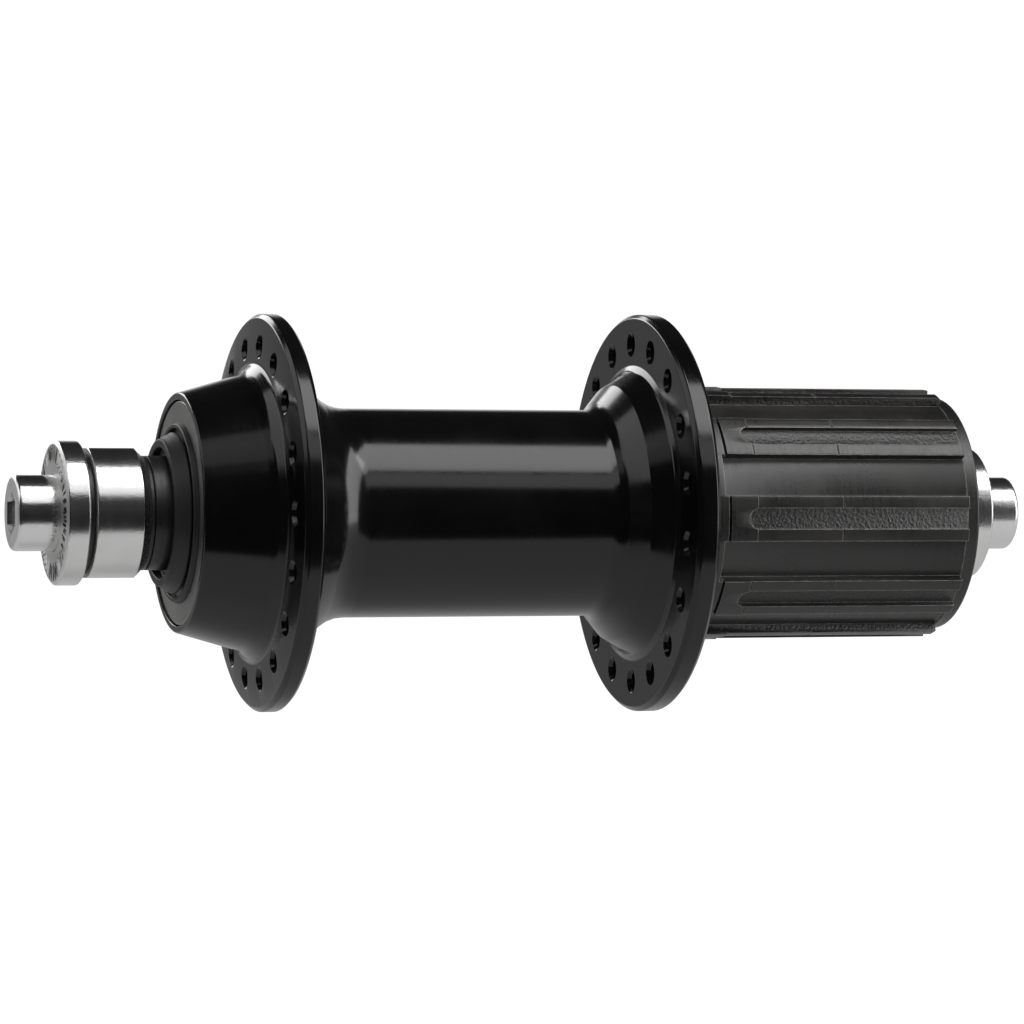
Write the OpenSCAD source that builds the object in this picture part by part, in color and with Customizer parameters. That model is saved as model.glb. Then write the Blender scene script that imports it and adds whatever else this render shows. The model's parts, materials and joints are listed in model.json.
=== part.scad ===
// Rear bicycle hub, cup-and-cone type, 130 mm between the locknut faces, with a splined freehub body.
// The origin is the middle of the axle. The axle runs along Y: +Y is the left end, -Y the drive end,
// +X is the riding direction and +Z is up.
// Stations along the axle ("_t") are millimetres from the middle, positive towards the drive end.

/* [Axle] */
// Distance between the outer faces of the two locknuts
locknut_span = 130; // [129.8:0.1:130.2]
// Length of the axle
axle_len = 141; // [140:0.5:146]
// Diameter of the axle
axle_d = 10; // [9.8:0.05:10]
// Diameter of the bore for the quick-release rod
rod_bore_d = 5.1; // [5:0.05:5.15]
// Width across the flats of the key socket in each end of the axle
key_flats = 5.2; // [5.2:0.05:5.6]
// Depth of the key socket
key_depth = 6; // [4:0.5:8]

/* [Left end stack] */
// Diameter of the serrated grip washer
grip_washer_d = 19; // [18.4:0.1:20]
// Thickness of the grip washer
grip_washer_w = 3.15; // [2.6:0.05:3.3]
// Diameter of the dark gasket ring behind the grip washer
gasket_d = 15.9; // [15:0.1:16.8]
// Thickness of the gasket ring
gasket_w = 1; // [0.8:0.05:1.2]
// Diameter of the left locknut
locknut_d = 17.5; // [17.2:0.1:18.4]
// Width across the two flats of the left locknut
locknut_flats = 17; // [16.5:0.1:17.2]
// Thickness of the lock washer
lock_washer_w = 0.6; // [0.5:0.05:0.7]
// Diameter of the lock washer
lock_washer_d = 15.1; // [14.8:0.1:15.4]
// Diameter of the left cone's sleeve
cone_d = 15.6; // [15.5:0.1:16]
// Width across the two wrench flats of the left cone
cone_flats = 15; // [14.6:0.1:15.2]

/* [Bearings] */
// Diameter of the eighteen hub balls
hub_ball_d = 6.35; // [6.3:0.05:6.4]
// Balls in each hub bearing
hub_balls = 9; // [7:1:9]
// Pitch circle of the hub balls
hub_ball_pcd = 19; // [18.95:0.05:19.05]
// Diameter of the small balls under the freehub body
driver_ball_d = 3.175; // [3.1:0.025:3.2]
// Balls in each of the two small rows
driver_balls = 25; // [20:1:25]
// Running clearance between a ball and its races
race_gap = 0.06; // [0.05:0.005:0.08]

/* [Hub shell] */
// Diameter of the left spoke flange
left_flange_d = 52.8; // [52:0.2:54]
// Diameter of the right spoke flange
right_flange_d = 54; // [53:0.2:56]
// Pitch circle of the left spoke holes
left_spoke_pcd = 44.6; // [44:0.1:45]
// Pitch circle of the right spoke holes
right_spoke_pcd = 45.8; // [45.4:0.1:46.4]
// Spoke holes in each flange
spoke_holes = 18; // [9:1:18]
// Diameter of a spoke hole
spoke_hole_d = 2.6; // [2.4:0.05:2.8]
// Diameter of the countersink of a spoke hole
spoke_sink_d = 3.3; // [3:0.1:3.8]
// Diameter of the barrel between the flanges
barrel_d = 27.9; // [27.7:0.2:28.9]
// Diameter of the bore inside the barrel
barrel_bore_d = 23.2; // [22:0.2:24]
// Angle of the first left spoke hole
left_hole_angle = 0; // [0:1:20]
// Angle of the first right spoke hole
right_hole_angle = 10; // [0:1:20]

/* [Freehub] */
// Diameter over the ribs of the freehub body
spline_d = 34.6; // [34.4:0.1:34.8]
// Diameter at the bottom of the valleys between the ribs
valley_d = 31.8; // [31.6:0.1:32.2]
// Number of ribs
ribs = 9; // [9:1:9]
// Angular width of a rib
rib_angle = 20.5; // [18:0.5:22]
// Extra angular width of the one rib that sets the sprockets' position
key_rib_extra = 6; // [4:0.5:8]
// Angular width of the groove along each rib
rib_groove_angle = 9.6; // [8:0.2:11]
// Ratchet teeth inside the freehub body
ratchet_teeth = 24; // [24:12:24]
// Diameter over the tips of the ratchet teeth
ratchet_tip_d = 26.2; // [26.1:0.05:26.4]
// Diameter at the roots of the ratchet teeth
ratchet_root_d = 28.8; // [28.6:0.1:29]
// Thread diameter for the sprockets' lockring
lockring_d = 29.6; // [29.4:0.1:29.8]

/* [Hidden] */
$fn = 96;

// General
tiny = 0.01;
far = 40;
axle_r = axle_d / 2;
thread_gap = 0.02;
on_axle_r = axle_r + thread_gap;
axle_chamfer = 0.5;
axle_relief_r = axle_r - 0.25;
axle_relief_w = 0.6;
hub_ball_r = hub_ball_d / 2;
hub_pitch_r = hub_ball_pcd / 2;
hub_race_r = hub_ball_r + race_gap;
driver_race_r = driver_ball_d / 2 + race_gap;

// Left end stack, from the locknut face inwards
left_face_t = -locknut_span / 2;
gasket_t = left_face_t + grip_washer_w;
locknut_t = gasket_t + gasket_w;
lock_washer_t = -53.5;
cone_t = lock_washer_t + lock_washer_w;
cone_flats_end_t = -50;
locknut_chamfer = 1.15;
serration_count = 40;
serration_in_r = 6.1;
serration_out_r = 8.8;
serration_w = 0.7;
serration_depth = 0.45;
washer_bevel = 0.5;

// Left bearing
left_ball_t = -43;
cone_nose_r = 6.3;
cone_nose_t = 1.4;
cone_race_out_r = 8.5;
cone_race_t = -46.5;
cup_out_r = 14.35;
cup_lip_r = 8.4;
cup_open_r = 12.7;
cup_left_t = -46.8;
cup_right_t = -38.6;

// Left seal and dust cap
seal_front_t = -50.87;
seal_back_t = -48.7;
seal_web_t = -49.6;
seal_mouth_r = 8.65;
seal_front_r = 9.7;
seal_back_r = 10.85;
seal_grip = 0.05;
cap_face_t = -48.15;
cap_seat_t = -46.9;
cap_out_r = 14.9;
cap_collar_r = 11.7;
cap_collar_in_r = 11.2;
cap_collar_t = -48.85;
cap_in_r = 8.75;
cap_dish = 0.35;

// Hub shell
left_flange_r = left_flange_d / 2;
right_flange_r = right_flange_d / 2;
barrel_r = barrel_d / 2;
shell_left_t = -48.4;
shell_left_r = 15.85;
shell_edge = 0.35;
hub_cone_end = [18.4, -39.5];
hub_cone_blend = [18.9, -38.65];
left_flange_out_t = -38.2;
left_flange_rim_t = -37.75;
left_flange_in_t = -35;
flange_root_r = 20.1;
left_slope = 40;
left_slope_top_r = 19.7;
left_blend_r = 6.3;
barrel_left_t = -25.85;
barrel_right_t = 7.95;
right_slope = 50;
right_blend_r = 2.5;
bell_edge = [17.35, 11.95];
bell_end = [19.3, 14.6];
right_flange_in_t = 15.05;
right_flange_out_t = 18.25;
rim_chamfer = 0.55;
boss_foot_r = 19.4;
boss_r = 18.3;
shell_right_t = 19;
cap_recess_r = 14.95;
cup_seat_r = 14.4;
web_left_t = 7.5;
socket_t = 15.2;
spoke_sink_depth = 0.35;

// Splined socket between the shell and the freehub core
spigot_splines = 10;
spigot_in_r = 10.1;
spigot_out_r = 10.9;
spigot_gap = 0.06;
spigot_spline_angle = 17;
spline_grow_angle = 4;

// Freehub core
core_flange_t = 19.3;
core_flange_r = 13.5;
shim_in_r = 11.1;
shim_out_r = 13.1;
inner_ball_t = 21.6;
inner_pitch_r = 13.4;
outer_ball_t = 50;
outer_pitch_r = 13;
core_waist_r = 11.9;
core_r = 12.2;
core_step_t = 23.5;
core_end_r = 11.3;
core_end_t = 50.4;
core_bore_r = 8.1;
bolt_seat_t = 38;
bolt_head_bore_r = 9.8;
ring_thread_t = 47;
ring_thread_r = 10.4;
race_shim_in_r = 10.5;

// Pawls and ratchet, drawn with the pivot on +X at pawl angle 0
pawl_pivot_r = 10.6;
pawl_boss_r = 1.4;
pawl_socket_r = 1.5;
pawl_left_t = 27;
pawl_right_t = 35;
pawl_side_gap = 0.3;
pawl_outline = [[9.6, 0.3], [9.95, 5.4], [11.14, 6.4], [11.75, 0.3]];
pocket_outline = [[9.3, 0.4], [9.62, 5.65], [11.9, 7.55], [13.5, 7.55], [13.5, -1], [10.9, -1]];
leaf_outline = [[9.366, 1.4], [9.597, 5.2], [9.747, 5.19], [9.516, 1.39]];
leaf_inset = 1.5;
ratchet_left_t = 26.5;
ratchet_right_t = 35.5;
ratchet_phase = 11.45;
ratchet_lean = 2.95;

// Freehub bolt
bolt_shank_r = 8;
bolt_left_t = 8;
bolt_head_r = 9.6;
bolt_head_t = 46;
bolt_bore_r = 5.6;
bolt_key_flats = 12;
bolt_key_t = 39.5;

// Race ring at the outer end of the freehub, with the right hub bearing inside it
right_ball_t = 55.2;
ring_left_t = 47.5;
ring_head_t = 50.6;
ring_head_r = 14;
ring_right_t = 59.2;
ring_seat_t = 58.5;
ring_seat_r = 13.1;
ring_notch_w = 3;
ring_notch_t = 57.4;

// Right end stack
right_cone_out_t = 60.6;
right_washer_t = 61.4;
right_washer_d = 16;
right_locknut_d = 18;
right_seal = [[8.45, 59.65], [10.9, 59.65], [9.6, 60.5], [8.45, 60.5]];
right_cap_t = 59.3;
right_cap_in_r = 8.8;
right_cap_out_r = 13.05;

// Freehub body
driver_left_t = 19.5;
collar_right_t = 23.2;
rib_step_t = 27.6;
rib_end_t = 57.8;
driver_right_t = 59.7;
rib_step_drop = 0.12;
driver_edge = 0.4;
end_collar_r = 16;
spline_r = spline_d / 2;
rib_pitch = 360 / ribs;
first_rib_angle = 182.6;
key_rib = 4;
groove_t = 25.85;
groove_floor_r = 16.45;
driver_mouth_r = 15;
driver_neck_r = 12.7;
driver_bore_r = 13.2;
driver_outer_r = 14.6;
driver_step_t = 49.8;
lockring_t = 53.8;
race_cover = 0.3;
seal_in_r = 13.55;
seal_out_r = 14.8;
driver_seal_t = 19.9;

// Shared shapes

// Turns a module that is drawn along Z so that +Z points to the drive end.
module along_axle() {
    rotate([90, 0, 0]) children();
}

// Solid of revolution from points of [radius, station].
module turned(points) {
    rotate_extrude() polygon(points);
}

// Plain ring between two stations.
module ring(in_r, out_r, t0, t1) {
    turned([[in_r, t0], [out_r, t0], [out_r, t1], [in_r, t1]]);
}

// Plain round rod between two stations, used for bores.
module rod(r, t0, t1) {
    translate([0, 0, t0]) cylinder(r = r, h = t1 - t0);
}

// Hexagonal rod of a given width across flats.
module hex_rod(flats, t0, t1) {
    translate([0, 0, t0]) cylinder(r = flats / sqrt(3), h = t1 - t0, $fn = 6);
}

// Section of a ball race groove.
module race(pitch_r, ball_t, race_r) {
    translate([pitch_r, ball_t]) circle(r = race_r);
}

// Ring of balls.
module balls(count, pitch_r, ball_t, ball_d) {
    for (i = [0 : count - 1])
        rotate([0, 0, i * 360 / count])
            translate([pitch_r, 0, ball_t]) sphere(d = ball_d, $fn = 32);
}

// Two flats for a wrench, above and below the axle.
module flats(across, t0, t1) {
    for (side = [-1, 1])
        translate([-far / 2, side * (across / 2 + far / 4) - far / 4, t0])
            cube([far, far / 2, t1 - t0]);
}

// Radial grip teeth on a face that looks along -Z at face_t, or along +Z when looks is 1.
module serrations(face_t, looks) {
    for (i = [0 : serration_count - 1])
        rotate([0, 0, i * 360 / serration_count])
            translate([serration_in_r, 0, face_t])
                rotate([90, 0, 90])
                    linear_extrude(serration_out_r - serration_in_r)
                        polygon([
                            [-serration_w / 2, looks * tiny],
                            [serration_w / 2, looks * tiny],
                            [0, -looks * serration_depth]
                        ]);
}

// Points of an arc in the [radius, station] plane; angles are measured from the radius axis.
function arc(centre, r, from, to, steps = 10) =
    [for (i = [0 : steps])
        centre + r * [cos(from + (to - from) * i / steps), sin(from + (to - from) * i / steps)]];

// Sector of the plane between two angles.
function sector(r, from, to) =
    concat([[0, 0]], [for (i = [0 : 4])
        r * [cos(from + (to - from) * i / 4), sin(from + (to - from) * i / 4)]]);

// Axle group

module axle() {
    end_t = axle_len / 2;
    face_t = locknut_span / 2;
    color("silver") along_axle() difference() {
        turned([
            [0, -end_t],
            [axle_r - axle_chamfer, -end_t],
            [axle_r, -end_t + axle_chamfer],
            [axle_r, -face_t],
            [axle_relief_r, -face_t],
            [axle_relief_r, -face_t + axle_relief_w],
            [axle_r, -face_t + axle_relief_w],
            [axle_r, face_t - axle_relief_w],
            [axle_relief_r, face_t - axle_relief_w],
            [axle_relief_r, face_t],
            [axle_r, face_t],
            [axle_r, end_t - axle_chamfer],
            [axle_r - axle_chamfer, end_t],
            [0, end_t]
        ]);
        rod(rod_bore_d / 2, -end_t - 1, end_t + 1);
        hex_rod(key_flats, -end_t - 1, -end_t + key_depth);
        hex_rod(key_flats, end_t - key_depth, end_t + 1);
    }
}

module left_grip_washer() {
    r = grip_washer_d / 2;
    color("silver") along_axle() difference() {
        turned([
            [on_axle_r, left_face_t],
            [r - washer_bevel, left_face_t],
            [r, left_face_t + washer_bevel / 2],
            [r, gasket_t - washer_bevel / 2],
            [r - washer_bevel / 2, gasket_t],
            [on_axle_r, gasket_t]
        ]);
        serrations(left_face_t, -1);
    }
}

module left_gasket_ring() {
    color("dimgray") along_axle() ring(on_axle_r, gasket_d / 2, gasket_t, locknut_t);
}

module left_locknut() {
    r = locknut_d / 2;
    color("silver") along_axle() difference() {
        turned([
            [on_axle_r, locknut_t],
            [r, locknut_t],
            [r, lock_washer_t - locknut_chamfer],
            [r - locknut_chamfer, lock_washer_t],
            [on_axle_r, lock_washer_t]
        ]);
        flats(locknut_flats, locknut_t - 1, lock_washer_t + 1);
    }
}

module left_lock_washer() {
    color("black") along_axle() ring(on_axle_r, lock_washer_d / 2, lock_washer_t, cone_t);
}

module left_cone() {
    r = cone_d / 2;
    color([0.12, 0.12, 0.13]) along_axle() difference() {
        rotate_extrude() difference() {
            polygon([
                [on_axle_r, cone_t],
                [r, cone_t],
                [r, cap_seat_t],
                [cone_race_out_r, cone_race_t],
                [cone_race_out_r, left_ball_t],
                [cone_nose_r, left_ball_t],
                [cone_nose_r, left_ball_t + cone_nose_t],
                [on_axle_r, left_ball_t + cone_nose_t]
            ]);
            race(hub_pitch_r, left_ball_t, hub_race_r);
        }
        flats(cone_flats, cone_t - 1, cone_flats_end_t);
    }
}

module left_dust_seal() {
    color([0.1, 0.1, 0.1]) along_axle() turned([
        [seal_mouth_r, seal_front_t],
        [seal_front_r, seal_front_t],
        [seal_back_r, seal_back_t],
        [cone_d / 2 - seal_grip, seal_back_t],
        [cone_d / 2 - seal_grip, seal_web_t],
        [seal_mouth_r, seal_web_t]
    ]);
}

module right_cone() {
    color([0.12, 0.12, 0.13]) along_axle() rotate_extrude() difference() {
        polygon([
            [on_axle_r, right_ball_t - cone_nose_t],
            [cone_nose_r, right_ball_t - cone_nose_t],
            [cone_nose_r, right_ball_t],
            [cone_race_out_r, right_ball_t],
            [cone_race_out_r, right_cone_out_t],
            [on_axle_r, right_cone_out_t]
        ]);
        race(hub_pitch_r, right_ball_t, hub_race_r);
    }
}

module right_dust_seal() {
    color([0.1, 0.1, 0.1]) along_axle() turned(right_seal);
}

module right_lock_washer() {
    color("silver") along_axle() ring(on_axle_r, right_washer_d / 2, right_cone_out_t, right_washer_t);
}

module right_locknut() {
    r = right_locknut_d / 2;
    face_t = locknut_span / 2;
    color("silver") along_axle() difference() {
        turned([
            [on_axle_r, right_washer_t],
            [r, right_washer_t],
            [r, face_t - washer_bevel],
            [r - washer_bevel, face_t],
            [on_axle_r, face_t]
        ]);
        serrations(face_t, 1);
    }
}

// Hub shell group

// Cutter for one spoke hole with a countersink on both faces of its flange.
module spoke_hole(t0, t1) {
    r = spoke_hole_d / 2;
    sink_r = spoke_sink_d / 2;
    turned([
        [0, t0 - 1],
        [sink_r, t0 - 1],
        [sink_r, t0],
        [r, t0 + spoke_sink_depth],
        [r, t1 - spoke_sink_depth],
        [sink_r, t1],
        [sink_r, t1 + 1],
        [0, t1 + 1]
    ]);
}

module spoke_circle(pcd, first_angle, t0, t1) {
    for (i = [0 : spoke_holes - 1])
        rotate([0, 0, first_angle + i * 360 / spoke_holes])
            translate([pcd / 2, 0, 0]) spoke_hole(t0, t1);
}

// Section of the splined spigot; grow widens it for the socket.
module spigot_section(grow) {
    half = spigot_spline_angle / 2 + grow * spline_grow_angle;
    circle(r = spigot_in_r + grow);
    intersection() {
        circle(r = spigot_out_r + grow);
        for (i = [0 : spigot_splines - 1])
            polygon(sector(far, i * 360 / spigot_splines - half, i * 360 / spigot_splines + half));
    }
}

module hub_shell() {
    left_blend_c = [barrel_r + left_blend_r, barrel_left_t];
    right_blend_c = [barrel_r + right_blend_r, barrel_right_t];
    outside = concat(
        [
            [shell_left_r - shell_edge, shell_left_t],
            [shell_left_r, shell_left_t + shell_edge],
            hub_cone_end,
            hub_cone_blend,
            [flange_root_r, left_flange_out_t],
            [left_spoke_pcd / 2, left_flange_out_t],
            [left_flange_r - rim_chamfer, left_flange_rim_t],
            [left_flange_r, left_flange_rim_t + rim_chamfer],
            [left_flange_r, left_flange_in_t - rim_chamfer],
            [left_flange_r - rim_chamfer, left_flange_in_t],
            [left_slope_top_r, left_flange_in_t]
        ],
        arc(left_blend_c, left_blend_r, 180 + left_slope, 180),
        arc(right_blend_c, right_blend_r, 180, 180 - right_slope, 6),
        [
            bell_edge,
            bell_end,
            [flange_root_r, right_flange_in_t],
            [right_flange_r - rim_chamfer, right_flange_in_t],
            [right_flange_r, right_flange_in_t + rim_chamfer],
            [right_flange_r, right_flange_out_t - rim_chamfer],
            [right_flange_r - rim_chamfer, right_flange_out_t],
            [boss_foot_r, right_flange_out_t],
            [boss_r, shell_right_t]
        ]
    );
    inside = [
        [bolt_shank_r + thread_gap, shell_right_t],
        [bolt_shank_r + thread_gap, web_left_t],
        [barrel_bore_d / 2, web_left_t],
        [barrel_bore_d / 2, cup_right_t],
        [cup_seat_r, cup_right_t],
        [cup_seat_r, cap_seat_t],
        [cap_recess_r, cap_seat_t],
        [cap_recess_r, shell_left_t]
    ];
    color([0.08, 0.08, 0.09]) along_axle() difference() {
        turned(concat(outside, inside));
        translate([0, 0, socket_t]) linear_extrude(shell_right_t - socket_t + 1) spigot_section(spigot_gap);
        spoke_circle(left_spoke_pcd, left_hole_angle, left_flange_out_t, left_flange_in_t);
        spoke_circle(right_spoke_pcd, right_hole_angle, right_flange_in_t, right_flange_out_t);
    }
}

module left_dust_cap() {
    color("gray") along_axle() turned([
        [cap_in_r, cap_seat_t],
        [cap_out_r, cap_seat_t],
        [cap_out_r, cap_face_t],
        [cap_collar_r, cap_face_t],
        [cap_collar_r, cap_collar_t],
        [cap_collar_in_r, cap_collar_t],
        [cap_collar_in_r, cap_face_t],
        [cap_in_r, cap_face_t + cap_dish]
    ]);
}

module left_bearing_cup() {
    color("lightgray") along_axle() rotate_extrude() difference() {
        polygon([
            [cup_open_r, cup_left_t],
            [cup_out_r, cup_left_t],
            [cup_out_r, cup_right_t],
            [cup_lip_r, cup_right_t],
            [cup_lip_r, left_ball_t],
            [cup_open_r, left_ball_t]
        ]);
        race(hub_pitch_r, left_ball_t, hub_race_r);
    }
}

// Cutter for the pocket that holds one pawl.
module pawl_pocket() {
    t0 = pawl_left_t - pawl_side_gap;
    t1 = pawl_right_t + pawl_side_gap;
    translate([pawl_pivot_r, 0, 0]) rod(pawl_socket_r, t0, t1);
    translate([0, 0, t0]) linear_extrude(t1 - t0) polygon(pocket_outline);
}

module freehub_core() {
    color("darkgray") along_axle() difference() {
        union() {
            translate([0, 0, socket_t]) linear_extrude(core_flange_t - socket_t) spigot_section(0);
            rotate_extrude() difference() {
                polygon([
                    [0, core_flange_t],
                    [core_flange_r, core_flange_t],
                    [core_flange_r, inner_ball_t - race_cover],
                    [core_waist_r, inner_ball_t - race_cover],
                    [core_waist_r, core_step_t],
                    [core_r, core_step_t],
                    [core_r, bolt_head_t],
                    [core_end_r, bolt_head_t + 1],
                    [core_end_r, core_end_t],
                    [0, core_end_t]
                ]);
                race(inner_pitch_r, inner_ball_t, driver_race_r);
            }
        }
        rod(core_bore_r, socket_t - 1, core_end_t + 1);
        rod(bolt_head_bore_r, bolt_seat_t, core_end_t + 1);
        rod(ring_thread_r + thread_gap, ring_thread_t, core_end_t + 1);
        for (turn = [0, 180]) rotate([0, 0, turn]) pawl_pocket();
    }
}

module freehub_bolt() {
    color("lightgray") along_axle() difference() {
        turned([
            [0, bolt_left_t],
            [bolt_shank_r, bolt_left_t],
            [bolt_shank_r, bolt_seat_t],
            [bolt_head_r, bolt_seat_t],
            [bolt_head_r, bolt_head_t],
            [0, bolt_head_t]
        ]);
        rod(bolt_bore_r, bolt_left_t - 1, bolt_head_t + 1);
        hex_rod(bolt_key_flats, bolt_key_t, bolt_head_t + 1);
    }
}

module freehub_shim() {
    color("lightgray") along_axle() ring(shim_in_r, shim_out_r, shell_right_t, core_flange_t);
}

module pawl_springs() {
    color("lightgray") along_axle()
        for (turn = [0, 180])
            rotate([0, 0, turn])
                translate([0, 0, pawl_left_t + leaf_inset])
                    linear_extrude(pawl_right_t - pawl_left_t - 2 * leaf_inset) polygon(leaf_outline);
}

module driver_race_ring() {
    color("lightgray") along_axle() difference() {
        rotate_extrude() difference() {
            polygon([
                [cup_lip_r, ring_left_t],
                [ring_thread_r, ring_left_t],
                [ring_thread_r, ring_head_t],
                [ring_head_r, ring_head_t],
                [ring_head_r, ring_right_t],
                [ring_seat_r, ring_right_t],
                [ring_seat_r, ring_seat_t],
                [cup_open_r, ring_seat_t],
                [cup_open_r, right_ball_t],
                [cup_lip_r, right_ball_t]
            ]);
            race(hub_pitch_r, right_ball_t, hub_race_r);
            race(outer_pitch_r, outer_ball_t, driver_race_r);
        }
        translate([-far / 2, -ring_notch_w / 2, ring_notch_t]) cube([far, ring_notch_w, far]);
    }
}

module race_shims() {
    color("lightgray") along_axle() ring(race_shim_in_r, core_end_r, core_end_t, ring_head_t);
}

module driver_seal() {
    color([0.1, 0.1, 0.1]) along_axle() ring(seal_in_r, seal_out_r, shell_right_t, driver_seal_t);
}

module right_dust_cap() {
    color("gray") along_axle() ring(right_cap_in_r, right_cap_out_r, ring_seat_t, right_cap_t);
}

// Freehub body group

// Cutter for the ratchet: each tooth has a long ramp and a steep face that leans with the pawl's path.
module ratchet_section() {
    pitch = 360 / ratchet_teeth;
    root_and_tip = [[ratchet_root_d / 2, 0], [ratchet_tip_d / 2, ratchet_lean]];
    polygon([
        for (i = [0 : ratchet_teeth - 1], corner = root_and_tip)
            let (angle = ratchet_phase + i * pitch + corner[1])
                corner[0] * [cos(angle), sin(angle)]
    ]);
}

function rib_centre(i) = first_rib_angle + i * rib_pitch;
function rib_left(i) = rib_centre(i) - rib_angle / 2;
function rib_right(i) = rib_centre(i) + rib_angle / 2 + (i % ribs == key_rib ? key_rib_extra : 0);

// Section of the valleys between the ribs.
module valley_section() {
    difference() {
        for (i = [0 : ribs - 1])
            polygon(sector(far, rib_right(i), rib_left(i + 1)));
        circle(d = valley_d);
    }
}

// Groove along the middle of one rib, with a round inner end.
module rib_groove(i) {
    half_w = spline_r * sin(rib_groove_angle / 2);
    rotate([0, 0, rib_centre(i)]) {
        translate([groove_floor_r, -half_w, groove_t + half_w]) cube([far, 2 * half_w, far]);
        translate([groove_floor_r, 0, groove_t + half_w]) rotate([0, 90, 0]) cylinder(r = half_w, h = far);
    }
}

module freehub_body() {
    low_rib_r = spline_r - rib_step_drop;
    color([0.2, 0.2, 0.2]) along_axle() difference() {
        turned([
            [0, driver_left_t],
            [spline_r - driver_edge, driver_left_t],
            [spline_r, driver_left_t + driver_edge],
            [spline_r, rib_step_t],
            [low_rib_r, rib_step_t],
            [low_rib_r, rib_end_t - driver_edge],
            [low_rib_r - driver_edge, rib_end_t],
            [end_collar_r, rib_end_t],
            [end_collar_r, driver_right_t - driver_edge],
            [end_collar_r - driver_edge, driver_right_t],
            [0, driver_right_t]
        ]);
        translate([0, 0, collar_right_t]) linear_extrude(rib_end_t - collar_right_t) valley_section();
        for (i = [0 : ribs - 1]) rib_groove(i);
        rotate_extrude() {
            polygon([
                [0, driver_left_t - 1],
                [driver_mouth_r, driver_left_t - 1],
                [driver_mouth_r, inner_ball_t + race_cover],
                [driver_neck_r, inner_ball_t + race_cover],
                [driver_neck_r, ratchet_right_t],
                [driver_bore_r, ratchet_right_t],
                [driver_bore_r, outer_ball_t - 1],
                [driver_outer_r, driver_step_t],
                [driver_outer_r, lockring_t],
                [lockring_d / 2, lockring_t],
                [lockring_d / 2, driver_right_t + 1],
                [0, driver_right_t + 1]
            ]);
            race(inner_pitch_r, inner_ball_t, driver_race_r);
            race(outer_pitch_r, outer_ball_t, driver_race_r);
        }
        translate([0, 0, ratchet_left_t]) linear_extrude(ratchet_right_t - ratchet_left_t) ratchet_section();
    }
}

// Pawls

module pawl() {
    translate([pawl_pivot_r, 0, 0]) rod(pawl_boss_r, pawl_left_t, pawl_right_t);
    translate([0, 0, pawl_left_t]) linear_extrude(pawl_right_t - pawl_left_t) polygon(pawl_outline);
}

module pawl_a() {
    color("darkgray") along_axle() pawl();
}

module pawl_b() {
    color("darkgray") along_axle() rotate([0, 0, 180]) pawl();
}

// Balls

module left_bearing_balls() {
    color("white") along_axle() balls(hub_balls, hub_pitch_r, left_ball_t, hub_ball_d);
}

module right_bearing_balls() {
    color("white") along_axle() balls(hub_balls, hub_pitch_r, right_ball_t, hub_ball_d);
}

module driver_balls_inboard() {
    color("white") along_axle() balls(driver_balls, inner_pitch_r, inner_ball_t, driver_ball_d);
}

module driver_balls_outboard() {
    color("white") along_axle() balls(driver_balls, outer_pitch_r, outer_ball_t, driver_ball_d);
}

axle();
left_grip_washer();
left_gasket_ring();
left_locknut();
left_lock_washer();
left_cone();
left_dust_seal();
right_cone();
right_dust_seal();
right_lock_washer();
right_locknut();
hub_shell();
left_dust_cap();
left_bearing_cup();
freehub_core();
freehub_bolt();
freehub_shim();
pawl_springs();
driver_race_ring();
race_shims();
driver_seal();
right_dust_cap();
freehub_body();
pawl_a();
pawl_b();
left_bearing_balls();
right_bearing_balls();
driver_balls_inboard();
driver_balls_outboard();
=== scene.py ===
"""Rear bicycle hub: the pieces that show, their finishes, the studio light and the camera.

Stations along the axle ("t") and radii ("r") are in millimetres, t counted from the hub's middle
towards the drive end. In the frame the axle runs along Y, so a station t lies at y = -t.
"""

import json
import math

import bmesh
import bpy
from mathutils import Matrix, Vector

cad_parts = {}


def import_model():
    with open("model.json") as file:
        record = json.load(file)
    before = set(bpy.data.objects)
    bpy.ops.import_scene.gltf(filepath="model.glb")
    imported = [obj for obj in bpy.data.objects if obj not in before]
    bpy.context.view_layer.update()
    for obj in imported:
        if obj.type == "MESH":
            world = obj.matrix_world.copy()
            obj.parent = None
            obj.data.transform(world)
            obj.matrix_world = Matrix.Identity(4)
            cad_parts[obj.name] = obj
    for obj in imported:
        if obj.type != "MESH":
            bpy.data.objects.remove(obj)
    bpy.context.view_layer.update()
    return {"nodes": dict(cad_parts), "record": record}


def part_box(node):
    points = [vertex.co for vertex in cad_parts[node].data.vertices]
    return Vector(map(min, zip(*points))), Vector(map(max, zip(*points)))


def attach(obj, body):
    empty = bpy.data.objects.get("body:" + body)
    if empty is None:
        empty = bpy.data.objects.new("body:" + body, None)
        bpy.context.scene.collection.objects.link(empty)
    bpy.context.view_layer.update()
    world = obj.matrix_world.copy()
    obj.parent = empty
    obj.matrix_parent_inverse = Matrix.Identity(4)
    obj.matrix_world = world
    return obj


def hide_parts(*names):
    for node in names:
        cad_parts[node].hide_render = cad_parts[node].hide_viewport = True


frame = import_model()

MM = 0.001
MICRON = MM * MM
PER_METRE = 1000.0
TAU = 2 * math.pi
HAIR = 0.0001    # millimetres that a turned piece stays inside its CAD node's ends
FACET = 0.012    # millimetres that it stays inside the node's radius


def reach(node):
    """Lowest and highest station of a CAD node, and its outer radius, in millimetres."""
    low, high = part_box(node)
    return -high[1] / MM + HAIR, -low[1] / MM - HAIR, max(high[0], high[2]) / MM - FACET


# ---------------------------------------------------------------- finishes

def socket(group, name, kind, default=None, output=False):
    """Adds a named input or output to a node group."""
    item = group.interface.new_socket(name, in_out="OUTPUT" if output else "INPUT", socket_type=kind)
    if default is not None:
        item.default_value = default


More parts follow.
